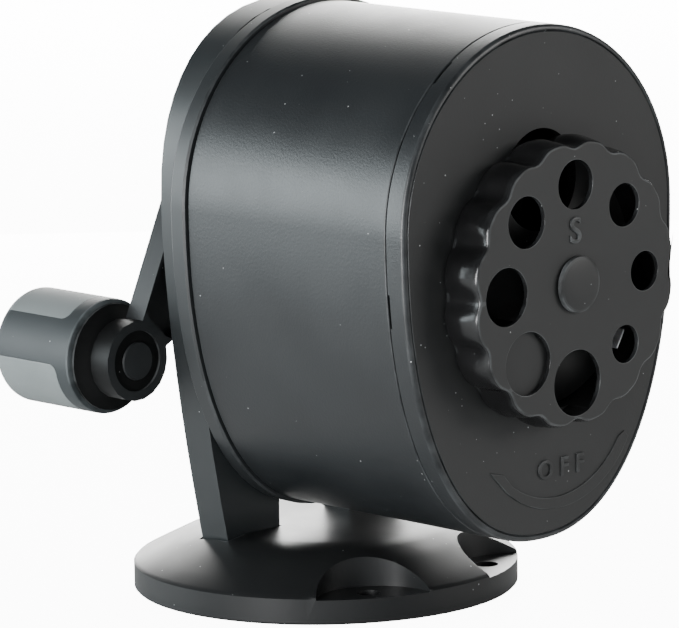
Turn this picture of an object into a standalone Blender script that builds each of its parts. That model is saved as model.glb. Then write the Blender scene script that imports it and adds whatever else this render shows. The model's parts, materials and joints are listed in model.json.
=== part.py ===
"""Manual pencil sharpener with a round foot, a hole-size dial and a geared two-cutter head.

World frame: metres, +Z up, origin at the centre of the foot's underside. The dial faces -Y and
the crank is on the +Y side. Driving sizes below are in millimetres.
"""
import math

import bmesh
import bpy
from mathutils import Matrix, Vector

MM = 0.001
GAP = 0.3                    # clearance between neighbouring pieces

# Foot
BASE_R = 34.2
BASE_RIM = 5.0               # height of the upright rim
BASE_TOP = 11.2              # height of the domed top
LEG_SOCKET = 8.2             # floor of the sockets that the legs stand in
SCREW_CIRCLE = 29.5          # radius of the three mounting holes
SCREW_ANGLES = (240, 300, 90)
SCOOP_CIRCLE = 35.0          # the round scoops break out through the rim
SCOOP_R = 10.5

# Heights of the two main axes and the egg-shaped outline that drum, cap and collar share
DIAL_Z = 60.8
HOLE_CIRCLE = 17.0
AXIS_Z = DIAL_Z + HOLE_CIRCLE
EGG_MID = 10.3               # widest level, above the dial axis
EGG_WIDE = 33.2
EGG_UP = 33.1
EGG_DOWN = 55.7
EGG_POWER = 2.25             # squareness of the lower half
EGG_POINTS = 72

# Places along Y
STAND_FRONT = 2.6
STAND_BACK = 9.2
COLLAR_FRONT = -1.2
COLLAR_BACK = STAND_FRONT - GAP
DRUM_BACK = COLLAR_FRONT - GAP
DRUM_FRONT = -49.3
CAP_BACK = DRUM_FRONT - GAP
FACE = -53.5
DIAL_BACK = FACE - GAP
DIAL_FRONT = -61.7
WALL = 1.6

# Stand
ARCH_HALF = 29.6
ARCH_TOP = 104.4
LEG_GAP_HALF = 8.7
LEG_GAP_TOP = 24.0
LEG_SCREW_X = 15.0
LEG_SCREW_Y = 0.5 * (STAND_FRONT + STAND_BACK)

# Dial
DIAL_R = 24.3
DIAL_WAVE = 0.55
DIAL_LOBES = 16
DIAL_WEB = 1.5
DIAL_POCKET_R = 22.2
HUB_R = 5.0
PIN_R = 2.3
HOLES = (                    # angle from +X, diameter
    (90, 8.4), (45, 7.4), (0, 6.8), (-45, 6.5),
    (-90, 11.3), (-135, 10.8), (180, 9.9), (135, 8.8))
PAD_ANGLE = -135             # fixed pad of the cap behind the lower left hole
PAD_SPREAD = 18
DETENT_ANGLE = -45

# Cutter head: two cutters tilted so that their axes meet the main axis at the apex
TILT = math.radians(10.0)
APEX_Y = 31.15
PINION_TEETH = 12
RING_TEETH = 28
PINION_AT = 36.0             # distance from the apex to the middle of the pinion
PINION_HALF = 2.3
CUTTER_START = 42.2
CUTTER_END = 66.0
CUTTER_R = 7.2
CUTTER_BORE = 1.6
CUTTER_PIN_R = 1.3
FLUTE_DEPTH = 0.55
FLUTE_TURN = math.radians(75.0)
CARRIER_R = 9.3
NOSE_BACK = -35.6
NOSE_FRONT = -40.6
NOSE_BORE = 6.0
NOSE_R = 9.4
NOSE_REACH = 6.5
SHAFT_R = 3.4
BUSH_R = 5.4

# Crank and handle
CRANK_LENGTH = 48.0
CRANK_ANGLE = math.radians(134.0)   # turn about +Y from +X to the rest position
ARM_FRONT = 12.0
ARM_BACK = 16.4
ARM_HALF = 4.5
ARM_WIDE = 12.4
ARM_TAPER = 0.3
ARM_RIM = 1.4
BOSS_R = 7.1
KNOB_START = 19.0
KNOB_END = 38.6
KNOB_R = 10.2
SPINDLE_R = 2.0
GRIPS = 3
GRIP_ANGLE = 99.0
GRIP_SPAN = 66.0


CUTTER_AXLES = []            # the two tilted pivots, filled in by build


def clear_scene():
    for obj in list(bpy.data.objects):
        bpy.data.objects.remove(obj, do_unlink=True)


def material(name, colour, roughness, metallic=0.0):
    mat = bpy.data.materials.new(name)
    mat.use_nodes = True
    shader = mat.node_tree.nodes["Principled BSDF"]
    shader.inputs["Base Color"].default_value = (*colour, 1.0)
    shader.inputs["Roughness"].default_value = roughness
    shader.inputs["Metallic"].default_value = metallic
    return mat


def pivot(name, place, turn=(0.0, 0.0, 0.0)):
    """An empty on a joint's axis, which the moving pieces hang from."""
    empty = bpy.data.objects.new(name, None)
    bpy.context.collection.objects.link(empty)
    empty.location = Vector(place) * MM
    empty.rotation_euler = turn
    return empty


def loft(name, rings, mat, parent=None, hollow=False):
    """A closed body through rings of equal point count; hollow joins the last ring to the first."""
    bm = bmesh.new()
    rows = [[bm.verts.new(Vector(p) * MM) for p in ring] for ring in rings]
    count = len(rows[0])
    last = len(rows) if hollow else len(rows) - 1
    for i in range(last):
        low, high = rows[i], rows[(i + 1) % len(rows)]
        for k in range(count):
            bm.faces.new((low[k], low[(k + 1) % count], high[(k + 1) % count], high[k]))
    if not hollow:
        bm.faces.new(rows[0])
        bm.faces.new(rows[-1])
    bmesh.ops.recalc_face_normals(bm, faces=bm.faces)
    mesh = bpy.data.meshes.new(name)
    bm.to_mesh(mesh)
    bm.free()
    mesh.shade_smooth()
    mesh.set_sharp_from_angle(angle=math.radians(35))
    obj = bpy.data.objects.new(name, mesh)
    bpy.context.collection.objects.link(obj)
    if mat:
        mesh.materials.append(mat)
    if parent:
        obj.parent = parent
    return obj


def tool(obj):
    """Marks an object as a cutter or guide, which is not a piece."""
    obj.hide_render = True
    obj.display_type = 'WIRE'
    return obj


def combine(target, other, operation):
    mod = target.modifiers.new(operation.title(), 'BOOLEAN')
    mod.operation = operation
    mod.solver = 'EXACT'
    mod.object = tool(other)


def cut(target, *cutters):
    for cutter in cutters:
        combine(target, cutter, 'DIFFERENCE')


def join(target, *parts):
    for part in parts:
        combine(target, part, 'UNION')


def circle(radius, y, at=(0.0, 0.0), count=36):
    return [(at[0] + radius * math.cos(a), y, at[1] + radius * math.sin(a))
            for a in (2 * math.pi * k / count for k in range(count))]


def turned(name, profile, mat=None, at=(0.0, 0.0), count=36, parent=None, hollow=False):
    """A turned body about a line along Y through at; the profile is (radius, y) pairs."""
    rings = [circle(radius, y, at, count) for radius, y in profile]
    return loft(name, rings, mat, parent, hollow)


def upright(name, radius, low, high, at, mat=None, count=20):
    """A round bar standing along Z at (x, y)."""
    rings = [[(at[0] + radius * math.cos(a), at[1] + radius * math.sin(a), z)
              for a in (2 * math.pi * k / count for k in range(count))] for z in (low, high)]
    return loft(name, rings, mat)


def slab(name, outline, back, front, mat=None, parent=None):
    """An outline of (x, z) points carried along Y."""
    return loft(name, [[(x, y, z) for x, z in outline] for y in (back, front)], mat, parent)


def egg(offset):
    """The shared outline, wider at the top, grown outwards by offset."""
    points = []
    for k in range(EGG_POINTS):
        a = 2 * math.pi * k / EGG_POINTS
        c, s = math.cos(a), math.sin(a)
        if s >= 0:
            points.append((EGG_WIDE * c, EGG_MID + EGG_UP * s))
        else:
            power = 2 / EGG_POWER
            points.append((EGG_WIDE * math.copysign(abs(c) ** power, c),
                           EGG_MID - EGG_DOWN * abs(s) ** power))
    grown = []
    for k, (x, z) in enumerate(points):
        ax, az = points[k - 1]
        bx, bz = points[(k + 1) % EGG_POINTS]
        length = math.hypot(bx - ax, bz - az)
        grown.append((x + offset * (bz - az) / length, DIAL_Z + z - offset * (bx - ax) / length))
    return grown


def egg_stack(name, steps, mat=None, parent=None, hollow=False):
    """Egg outlines at successive (y, offset) steps."""
    rings = [[(x, y, z) for x, z in egg(offset)] for y, offset in steps]
    return loft(name, rings, mat, parent, hollow)


def polar(radius, degrees, z=0.0):
    a = math.radians(degrees)
    return radius * math.cos(a), z + radius * math.sin(a)


def base(mats):
    dome = [(0.5, BASE_TOP), (18, BASE_TOP), (22.5, 10.5), (26.5, 8.8), (30.5, 6.8),
            (33.6, BASE_RIM + 0.2), (BASE_R, BASE_RIM - 0.4), (BASE_R, 0.4), (BASE_R - 0.4, 0.0),
            (25.2, 0.0), (25.0, 2.4), (12.0, 2.4), (11.8, 0.0), (0.5, 0.0)]
    rings = [[(r * math.cos(a), r * math.sin(a), z)
              for a in (2 * math.pi * k / 64 for k in range(64))] for r, z in dome]
    foot = loft("base", rings, mats["black"])
    for k, angle in enumerate(SCREW_ANGLES):
        place = polar(SCOOP_CIRCLE, angle)
        cut(foot, upright(f"scoop_{k}", SCOOP_R, BASE_RIM - 0.6, 20, place, count=40),
            upright(f"hole_{k}", 2.1, -1, 20, polar(SCREW_CIRCLE, angle)))
    for side in (-1, 1):
        place = (side * LEG_SCREW_X, LEG_SCREW_Y)
        inner, outer = side * (LEG_GAP_HALF - GAP), side * (arch_half(BASE_TOP) + GAP)
        socket = [(inner, LEG_SOCKET), (outer, LEG_SOCKET), (outer, 20), (inner, 20)]
        cut(foot, upright(f"counterbore_{side}", 3.6, -1, 4.6, place),
            upright(f"clearance_{side}", 1.9, -1, 20, place),
            slab(f"socket_{side}", socket, STAND_FRONT - GAP, STAND_BACK + GAP))


def leg_screw(name, side, mats):
    place = (side * LEG_SCREW_X, LEG_SCREW_Y)
    rings = [[(place[0] + r * math.cos(a), place[1] + r * math.sin(a), z)
              for a in (2 * math.pi * k / 20 for k in range(20))]
             for r, z in ((3.2, 2.6), (3.2, 4.3), (1.6, 4.4), (1.6, 22.0), (0.6, 23.0))]
    loft(name, rings, mats["steel"])


def arch_half(z):
    """Half width of the stand at height z."""
    middle = DIAL_Z + EGG_MID
    if z < middle:
        return ARCH_HALF - 0.0115 * (middle - z) ** 1.6
    rise = (z - middle) / (ARCH_TOP - middle)
    return ARCH_HALF * (1 - min(rise, 1.0) ** 2.3) ** (1 / 2.3)


def arch_outline(inset, bottom):
    """Outline of the stand, from the left foot over the top to the right foot."""
    middle = DIAL_Z + EGG_MID
    levels = [bottom + (middle - bottom) * k / 10 for k in range(10)]
    side = [(arch_half(z) - inset, z) for z in levels]
    round_top = []
    for k in range(25):
        a = math.pi * k / 24
        power = 2 / 2.3
        x = (ARCH_HALF - inset) * math.copysign(abs(math.cos(a)) ** power, math.cos(a))
        round_top.append((x, middle + (ARCH_TOP - inset - middle) * math.sin(a) ** power))
    return side + round_top + [(-x, z) for x, z in reversed(side)]


def stand(mats):
    bottom = LEG_SOCKET + GAP
    frame = slab("stand", arch_outline(0.0, bottom), STAND_FRONT, STAND_BACK, mats["slate"])
    panel = slab("panel_cut", arch_outline(3.4, 30.0), STAND_FRONT + 3.0, STAND_BACK + 2)
    boss = turned("boss", [(9.0, STAND_FRONT + 2), (9.0, STAND_BACK + 0.8)], at=(0, AXIS_Z))
    ribs = [slab(f"rib_{side}", [(side * 1.2 + side * 12, 28), (side * 1.2 + side * 10, 28),
                                 (side * 4, AXIS_Z), (side * 6, AXIS_Z)],
                 STAND_FRONT + 2, STAND_BACK - 0.6) for side in (-1, 1)]
    gap = [(LEG_GAP_HALF * math.cos(a), LEG_GAP_TOP - LEG_GAP_HALF + LEG_GAP_HALF * math.sin(a))
           for a in (math.pi * k / 16 for k in range(17))]
    gap += [(-LEG_GAP_HALF, 0), (LEG_GAP_HALF, 0)]
    cut(frame, panel)
    join(frame, boss, *ribs)
    cut(frame, slab("leg_gap", gap, STAND_FRONT - 2, STAND_BACK + 2),
        turned("bush_seat", [(BUSH_R + GAP, -5), (BUSH_R + GAP, 20)], at=(0, AXIS_Z)))
    for side in (-1, 1):
        cut(frame, upright(f"pilot_{side}", 1.9, 0, 24, (side * LEG_SCREW_X, LEG_SCREW_Y)))


def bushing(mats):
    turned("shaft_bushing",
           [(BUSH_R, STAND_FRONT + 0.2), (BUSH_R, STAND_BACK + 0.6), (SHAFT_R + GAP, STAND_BACK + 0.6),
            (SHAFT_R + GAP, STAND_FRONT + 0.2)], mats["brass"], at=(0, AXIS_Z), hollow=True)


def collar(mats):
    plate = egg_stack("collar", [(COLLAR_BACK, 0.4), (COLLAR_BACK - 0.4, 0.7),
                                 (COLLAR_FRONT + 0.4, 0.7), (COLLAR_FRONT, 0.4)], mats["black"])
    cut(plate, turned("collar_bore", [(12.0, -5), (12.0, 5)], at=(0, AXIS_Z)))
    for k, (x, z) in enumerate(COLLAR_SCREWS):
        cut(plate, turned(f"sink_{k}", [(2.9, -3), (2.9, 0.6)], at=(x, z)),
            turned(f"collar_hole_{k}", [(1.6, -3), (1.6, 3)], at=(x, z), count=24))


def collar_screw(name, place, mats):
    turned(name, [(2.5, COLLAR_FRONT + 0.2), (2.5, 0.4), (1.25, 0.5), (1.25, 2.2)], mats["steel"],
           at=place, count=24)


COLLAR_SCREWS = ((-24.0, AXIS_Z + 8.0), (24.0, AXIS_Z + 8.0), (0.0, 34.0))


def lock_ring(mats, hinge):
    """Bayonet ring that turns with the drum and lets it off the collar."""
    back, front = DRUM_BACK, DRUM_BACK - 3.0
    ring = turned("lock_ring", [(23.6, back), (23.6, front), (19.2, front), (19.2, back)],
                  mats["steel"], at=(0, 0), count=48, parent=hinge, hollow=True)
    for k in range(3):
        angle = 30 + 120 * k
        corners = []
        for reach, side in ((19, 1.5), (25, 1.5), (25, -1.5), (19, -1.5)):
            x, z = polar(reach, angle)
            across, rise = polar(side, angle + 90)
            corners.append((x + across, z + rise))
        cut(ring, slab(f"notch_{k}", corners, back - 1.5, front - 1, parent=hinge))


def drum(mats):
    egg_stack("drum", [(DRUM_BACK, 0.0), (DRUM_FRONT, 0.0), (DRUM_FRONT, -WALL), (DRUM_BACK, -WALL)],
              mats["satin"], hollow=True)


def front_cap(mats):
    cap = egg_stack("front_cap", [(CAP_BACK, 0.0), (FACE + 0.8, 0.0), (FACE + 0.25, -0.25),
                                  (FACE, -0.8)], mats["black"])
    cut(cap, egg_stack("cap_pocket", [(CAP_BACK + 2, -WALL), (FACE + 1.8, -WALL)]))
    sweep = [PAD_ANGLE - PAD_SPREAD + 2 * PAD_SPREAD * k / 8 for k in range(9)]
    pad = ([polar(HOLE_CIRCLE + 5.0, a, DIAL_Z) for a in sweep]
           + [polar(HOLE_CIRCLE - 5.0, a, DIAL_Z) for a in reversed(sweep)])
    join(cap, slab("pad", pad, FACE + 1, DIAL_FRONT + DIAL_WEB + GAP))
    cut(cap, turned("pencil_opening", [(8.8, -60), (8.8, -40)], at=(0, AXIS_Z)),
        turned("pin_hole", [(PIN_R + GAP, -60), (PIN_R + GAP, -40)], at=(0, DIAL_Z), count=32),
        turned("key_round", [(2.6, -60), (2.6, -40)], at=(HOLE_CIRCLE, DIAL_Z + 0.6), count=24),
        slab("key_slot", [(x, DIAL_Z - drop) for x, drop in ((16, 4.2), (18, 4.2), (18, 0), (16, 0))],
             -40, -60))


def scallop(offset, y, count=DIAL_LOBES * 6):
    """Wavy outline of the dial, with a hollow of the wave straight above the axis."""
    ring = []
    for k in range(count):
        a = 2 * math.pi * k / count
        r = DIAL_R + offset - DIAL_WAVE * math.cos(DIAL_LOBES * (a - math.pi / 2))
        ring.append((r * math.cos(a), y, r * math.sin(a)))
    return ring


def dial(mats, axle):
    steps = ((DIAL_BACK, 0.5), (DIAL_BACK - 1.2, 0.6), (DIAL_FRONT + 1.2, 0.0),
             (DIAL_FRONT + 0.35, -0.25), (DIAL_FRONT, -0.8))
    wheel = loft("dial", [scallop(offset, y) for y, offset in steps], mats["gloss"], axle)
    web_back = DIAL_FRONT + DIAL_WEB
    pocket = turned("dial_pocket", [(DIAL_POCKET_R, DIAL_BACK + 2), (DIAL_POCKET_R, web_back),
                                    (HUB_R, web_back), (HUB_R, DIAL_BACK + 2)],
                    parent=axle, hollow=True, count=48)
    bore = turned("dial_bore", [(PIN_R + GAP, -70), (PIN_R + GAP, -50)], parent=axle, count=32)
    holes = [turned(f"dial_hole_{k}", [(size / 2, -70), (size / 2, -50)],
                    at=polar(HOLE_CIRCLE, angle), parent=axle, count=24)
             for k, (angle, size) in enumerate(HOLES)]
    cut(wheel, pocket, bore, *holes)


def dial_pin(mats):
    top = DIAL_FRONT - 0.25
    turned("dial_pin", [(0.4, top - 1.15), (2.5, top - 1.05), (4.2, top - 0.65), (4.8, top - 0.15),
                        (4.8, top), (PIN_R, top), (PIN_R, -49.9), (0.4, -49.9)],
           mats["gloss"], at=(0, DIAL_Z), count=28)
    turned("dial_clip", [(4.6, -51.4), (4.6, -50.6), (PIN_R + GAP, -50.6), (PIN_R + GAP, -51.4)],
           mats["steel"], at=(0, DIAL_Z), count=32, hollow=True)


def detent_spring(mats):
    """Bent leaf that clicks the dial into place."""
    x0, z0 = polar(HOLE_CIRCLE, DETENT_ANGLE, DIAL_Z)
    low = FACE - GAP
    path = [(-6.5, low), (-2.4, low), (0.2, low - 5.0), (2.4, low - 2.2)]
    half = 0.2
    top = [(x0 + x, y - half) for x, y in path]
    under = [(x0 + x, y - half - 0.5) for x, y in reversed(path)]
    rings = [[(x, y, z) for x, y in top + under] for z in (z0 - 1.8, z0 + 1.8)]
    loft("detent_spring", rings, mats["steel"])


def tooth_ring(teeth, pitch_r, module, start, inward):
    """Radius at each point of a ring of straight-sided teeth, root to tip and back."""
    tip, root = (pitch_r + 0.85 * module, pitch_r - 1.05 * module)
    if inward:
        tip, root = (pitch_r - 0.75 * module, pitch_r + 1.05 * module)
    shape = ((-0.29, root), (-0.11, tip), (0.11, tip), (0.29, root))
    return [(radius, start + 2 * math.pi * (k + part) / teeth)
            for k in range(teeth) for part, radius in shape]


def pinion_pitch(distance):
    ratio = RING_TEETH / PINION_TEETH
    return distance * math.sin(TILT) / (ratio - math.cos(TILT))


def ring_gear(mats):
    """Inward bevel teeth that both pinions roll in, on a flange against the collar."""
    slope = math.atan(math.sin(TILT) / (RING_TEETH / PINION_TEETH - math.cos(TILT)))
    cone = PINION_AT / math.cos(slope)
    mesh_r = cone * math.sin(TILT + slope)
    mesh_d = cone * math.cos(TILT + slope)
    module = 2 * mesh_r / RING_TEETH
    teeth = tooth_ring(RING_TEETH, mesh_r, module, math.pi / 2 + math.pi / RING_TEETH, True)
    rings = []
    front, back = -6.2, COLLAR_FRONT - GAP
    for y in (back, front):
        scale = (APEX_Y - y) / mesh_d
        rings.append([(r * scale * math.cos(a), y, AXIS_Z + r * scale * math.sin(a))
                      for r, a in teeth])
    outer = [[(r * math.cos(a), y, AXIS_Z + r * math.sin(a)) for _, a in teeth]
             for r, y in ((14.6, front), (14.6, back - 1.4), (18.6, back - 1.4), (18.6, back))]
    loft("ring_gear", rings + outer, mats["steel"], hollow=True)


def cutter(name, axle, mats):
    """A fluted cutter with its pinion in one piece, on a pin along its own tilted axis."""
    module = 2 * pinion_pitch(PINION_AT) / PINION_TEETH
    teeth = tooth_ring(PINION_TEETH, pinion_pitch(PINION_AT), module, math.pi / 2, False)
    angles = [a for _, a in teeth]

    def ring_at(radii, s, turn=0.0):
        return [(r * math.cos(a + turn), -s, r * math.sin(a + turn)) for r, a in zip(radii, angles)]

    rings = []
    for s in (PINION_AT - PINION_HALF, PINION_AT + PINION_HALF):
        rings.append(ring_at([r * s / PINION_AT for r, _ in teeth], s))
    neck = [3.2] * len(angles)
    rings.append(ring_at(neck, PINION_AT + PINION_HALF + 0.2))
    rings.append(ring_at(neck, CUTTER_START - 0.4))
    flutes = [CUTTER_R - FLUTE_DEPTH * (1, 0.3, 0, 0.7)[k % 4] for k in range(len(angles))]
    steps = 7
    for k in range(steps + 1):
        share = k / steps
        s = CUTTER_START + share * (CUTTER_END - CUTTER_START)
        rings.append(ring_at(flutes, s, FLUTE_TURN * share))
    body = loft(name, rings, mats["steel"], axle)
    cut(body, turned(f"{name}_bore", [(CUTTER_BORE, -30), (CUTTER_BORE, -80)], count=20, parent=axle))


def cutter_pin(name, axle, mats):
    turned(name, [(CUTTER_PIN_R, -31.2), (CUTTER_PIN_R, -71.0)], mats["steel"], count=20, parent=axle)


def carrier(mats, axle):
    """Turning frame that holds both cutters, with the shaft to the crank."""
    disc_back, disc_front = 2.0, 0.2
    shaft = [(0.3, 10.4), (SHAFT_R, 10.4), (SHAFT_R, disc_back)]
    disc = [(CARRIER_R, disc_back), (CARRIER_R, disc_front), (0.3, disc_front)]
    body = turned("cutter_carrier", shaft + disc, mats["zinc"], parent=axle)
    nose_outline = []
    for k in range(24):
        x, z = polar(NOSE_R, 7.5 + 15 * k)
        nose_outline.append((x, z + math.copysign(NOSE_REACH, z)))
    nose = slab("nose", nose_outline, NOSE_BACK, NOSE_FRONT, parent=axle)
    bar = ((7.5, -2.8), (9.2, -2.6), (9.2, 2.6), (7.5, 2.8))
    bars = [slab(f"bar_{side}", [(side * x, z) for x, z in bar], disc_back - 0.2, NOSE_BACK - 1,
                 parent=axle) for side in (-1, 1)]
    join(body, *bars, nose)
    cut(body, turned("nose_bore", [(NOSE_BORE + 1.5, NOSE_FRONT - 1), (NOSE_BORE, NOSE_FRONT + 2),
                                   (NOSE_BORE, NOSE_BACK + 4)], parent=axle))
    for k, hinge in enumerate(CUTTER_AXLES):
        cut(body, turned(f"pin_seat_{k}", [(CUTTER_PIN_R + GAP, -30.9), (CUTTER_PIN_R + GAP, -80)],
                         count=24, parent=hinge))


def arm_half(along):
    """Half width of the crank arm, which widens from the knob towards the shaft."""
    return min(ARM_WIDE, ARM_HALF + ARM_TAPER * (CRANK_LENGTH - 4 - along))


def crank_arm(mats, axle):
    back, front = ARM_BACK, ARM_FRONT
    shoulder = CRANK_LENGTH - 4 - (ARM_WIDE - ARM_HALF) / ARM_TAPER
    spread = math.radians(148)
    outline = [(shoulder, -ARM_WIDE)]
    for k in range(17):
        a = -spread + 2 * spread * k / 16
        outline.append((CRANK_LENGTH + BOSS_R * math.cos(a), BOSS_R * math.sin(a)))
    outline.append((shoulder, ARM_WIDE))
    for k in range(15):
        a = math.radians(95 + 170 * k / 14)
        outline.append((ARM_WIDE * math.cos(a), ARM_WIDE * math.sin(a)))
    arm = slab("crank_arm", outline, back, front, mats["black"], axle)
    side = [(along, arm_half(along) - ARM_RIM) for along in (9.0, shoulder, CRANK_LENGTH - 7.8)]
    side.append((CRANK_LENGTH - 7.3, side[-1][1] - 1.6))
    pocket = side + [(along, -across) for along, across in reversed(side)]
    neck = turned("neck", [(5.8, back - 0.5), (5.8, back + 0.4), (6.4, back + 1.0), (8.6, back + 1.7),
                           (9.4, back + 1.8), (9.4, KNOB_START - GAP)],
                  at=(CRANK_LENGTH, 0), parent=axle)
    hub = turned("hub", [(BOSS_R, ARM_FRONT + 0.5), (6.6, 10.7), (6.2, 10.7)], parent=axle)
    join(arm, neck, hub)
    cut(arm, slab("arm_pocket", pocket, front - 1, front + 2.4, parent=axle),
        slab("arm_pocket_back", pocket, back - 1.0, back + 1, parent=axle),
        turned("boss_dish", [(5.4, front - 1), (5.4, front + 0.5)], at=(CRANK_LENGTH, 0), parent=axle),
        turned("spindle_bore", [(SPINDLE_R + GAP, front - 1), (SPINDLE_R + GAP, 25)],
               at=(CRANK_LENGTH, 0), parent=axle, count=32),
        turned("shaft_bore", [(2.0, 5), (2.0, 25)], parent=axle, count=32),
        turned("crank_screw_sink", [(4.3, 14.6), (4.3, 25)], parent=axle, count=32))


def crank_screw(mats, axle):
    turned("crank_screw", [(0.4, 16.2), (3.4, 16.1), (3.9, 15.6), (3.9, 14.9), (1.6, 14.9), (1.6, 10.8),
                           (0.4, 10.8)], mats["steel"], parent=axle, count=32)


def spindle(mats, axle):
    turned("handle_spindle", [(0.4, ARM_FRONT - 0.3), (3.3, ARM_FRONT - 0.2), (3.4, ARM_FRONT + 0.2),
                              (SPINDLE_R, ARM_FRONT + 0.25), (SPINDLE_R, KNOB_END - 5.0),
                              (0.4, KNOB_END - 5.0)],
           mats["steel"], at=(CRANK_LENGTH, 0), parent=axle, count=32)


def knob_profile(offset):
    start, end, r = KNOB_START, KNOB_END, KNOB_R + offset
    corner = 3.0
    arc = [(r - corner + corner * math.cos(a), end - corner + (corner + offset) * math.sin(a))
           for a in (math.pi / 2 * k / 6 for k in range(7))]
    return [(0.4, start), (r - 0.6, start), (r, start + 0.5)] + arc + [(0.4, end + offset)]


def grip_sector(name, angle, width, axle, low, high, inner, outer):
    """A curved patch of the knob's skin around angle, as wide as width degrees."""
    count = 8
    rings = []
    for y in (low, high):
        arc = [math.radians(angle - width / 2 + width * k / count) for k in range(count + 1)]
        ring = [(outer * math.cos(a), y, outer * math.sin(a)) for a in arc]
        ring += [(inner * math.cos(a), y, inner * math.sin(a)) for a in reversed(arc)]
        rings.append(ring)
    return loft(name, rings, None, axle)


def knob(mats, axle):
    core = turned("handle_knob", knob_profile(0.0), mats["knob"], parent=axle, count=40)
    cut(core, turned("knob_bore", [(SPINDLE_R + GAP, 10), (SPINDLE_R + GAP, KNOB_END - 4.6)],
                     parent=axle, count=32))
    for k in range(GRIPS):
        angle = GRIP_ANGLE + 360 * k / GRIPS
        seat = grip_sector(f"grip_seat_{k}", angle, GRIP_SPAN + 3, axle,
                           KNOB_START + 3.2, KNOB_END - 2.7, KNOB_R - 1.0, KNOB_R + 1)
        cut(core, seat)
        grip = grip_sector(f"grip_{k + 1}", angle, GRIP_SPAN, axle, KNOB_START + 3.5, KNOB_END - 3.0,
                           KNOB_R - 0.7, KNOB_R + 0.1)
        grip.data.materials.append(mats["grip"])



def build():
    clear_scene()
    mats = {
        "black": material("black_plastic", (0.018, 0.019, 0.020), 0.45),
        "slate": material("slate_plastic", (0.030, 0.034, 0.036), 0.42),
        "satin": material("satin_drum", (0.020, 0.022, 0.024), 0.30),
        "gloss": material("gloss_black", (0.010, 0.010, 0.011), 0.22),
        "steel": material("steel", (0.55, 0.55, 0.56), 0.30, 1.0),
        "zinc": material("zinc_casting", (0.42, 0.42, 0.43), 0.45, 1.0),
        "brass": material("brass", (0.60, 0.45, 0.20), 0.35, 1.0),
        "knob": material("knob_slate", (0.085, 0.100, 0.108), 0.50),
        "grip": material("grip_grey", (0.42, 0.45, 0.45), 0.50),
    }
    main = (0, 0, AXIS_Z)
    latch = pivot("latch_axle", main)
    crank = pivot("crank_axle", main, (0, CRANK_ANGLE, 0))
    carrier_axle = pivot("carrier_axle", main)
    dial_axle = pivot("dial_axle", (0, 0, DIAL_Z))
    apex = (0, APEX_Y, AXIS_Z)
    CUTTER_AXLES.extend(pivot(f"cutter_axle_{k + 1}", apex, (tilt, 0, 0))
                        for k, tilt in enumerate((-TILT, TILT)))
    turn = Vector((CRANK_LENGTH, 0, 0))
    turn.rotate(Matrix.Rotation(CRANK_ANGLE, 3, 'Y'))
    handle_axle = pivot("handle_axle", (turn.x, 0, AXIS_Z + turn.z))
    base(mats)
    for side, name in ((-1, "leg_screw_1"), (1, "leg_screw_2")):
        leg_screw(name, side, mats)
    stand(mats)
    bushing(mats)
    collar(mats)
    for k, place in enumerate(COLLAR_SCREWS):
        collar_screw(f"collar_screw_{k + 1}", place, mats)
    lock_ring(mats, latch)
    drum(mats)
    front_cap(mats)
    dial(mats, dial_axle)
    dial_pin(mats)
    detent_spring(mats)
    ring_gear(mats)
    carrier(mats, carrier_axle)
    for k, axle in enumerate(CUTTER_AXLES):
        cutter(f"cutter_{k + 1}", axle, mats)
        cutter_pin(f"cutter_pin_{k + 1}", axle, mats)
    crank_arm(mats, crank)
    crank_screw(mats, crank)
    spindle(mats, crank)
    knob(mats, handle_axle)


build()
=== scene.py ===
import json
import math

import bmesh
import bpy
from mathutils import Matrix, Vector


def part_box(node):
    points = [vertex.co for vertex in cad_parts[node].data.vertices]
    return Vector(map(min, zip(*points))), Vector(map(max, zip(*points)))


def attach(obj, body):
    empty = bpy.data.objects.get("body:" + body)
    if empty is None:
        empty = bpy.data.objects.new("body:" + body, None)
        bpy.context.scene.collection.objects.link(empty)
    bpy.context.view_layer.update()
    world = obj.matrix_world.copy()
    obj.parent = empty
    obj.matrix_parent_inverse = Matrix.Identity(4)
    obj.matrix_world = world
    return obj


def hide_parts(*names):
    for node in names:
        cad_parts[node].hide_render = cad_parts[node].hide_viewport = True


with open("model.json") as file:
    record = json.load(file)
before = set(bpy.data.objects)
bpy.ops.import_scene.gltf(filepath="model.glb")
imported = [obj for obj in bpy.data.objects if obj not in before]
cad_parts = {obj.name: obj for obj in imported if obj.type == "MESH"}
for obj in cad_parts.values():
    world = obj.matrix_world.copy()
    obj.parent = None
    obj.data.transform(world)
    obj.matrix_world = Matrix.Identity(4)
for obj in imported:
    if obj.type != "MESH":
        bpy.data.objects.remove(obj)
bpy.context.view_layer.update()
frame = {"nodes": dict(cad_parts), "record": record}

MM = 0.001
GAP = 0.3 * MM                     # clearance between neighbouring pieces
NODES = frame["nodes"]
JOINTS = {joint["name"]: joint for joint in frame["record"]["behaviour"]["joints"]}
AXIS_Z = JOINTS["crank_turn"]["pos_m"][2]
DIAL_Z = JOINTS["dial_turn"]["pos_m"][2]
KNOB_X, _, KNOB_Z = JOINTS["handle_spin"]["pos_m"]

# Egg outline shared by the drum, its cap and the collar
EGG_MID = DIAL_Z + 10.3 * MM
EGG_POWER = 2.25
EGG_POINTS = 192

# Short slits where the cap meets the drum, as heights from and to
SEAM_SLOTS = ((55.4 * MM, 62.9 * MM), (95.8 * MM, 99.6 * MM))
SLOT_DEPTH = 0.35 * MM

# Dial
DIAL_LOBES = 16
DIAL_WAVE = 0.62 * MM
DIAL_WEB = 0.8 * MM
HOLE_CIRCLE = AXIS_Z - DIAL_Z
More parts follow.
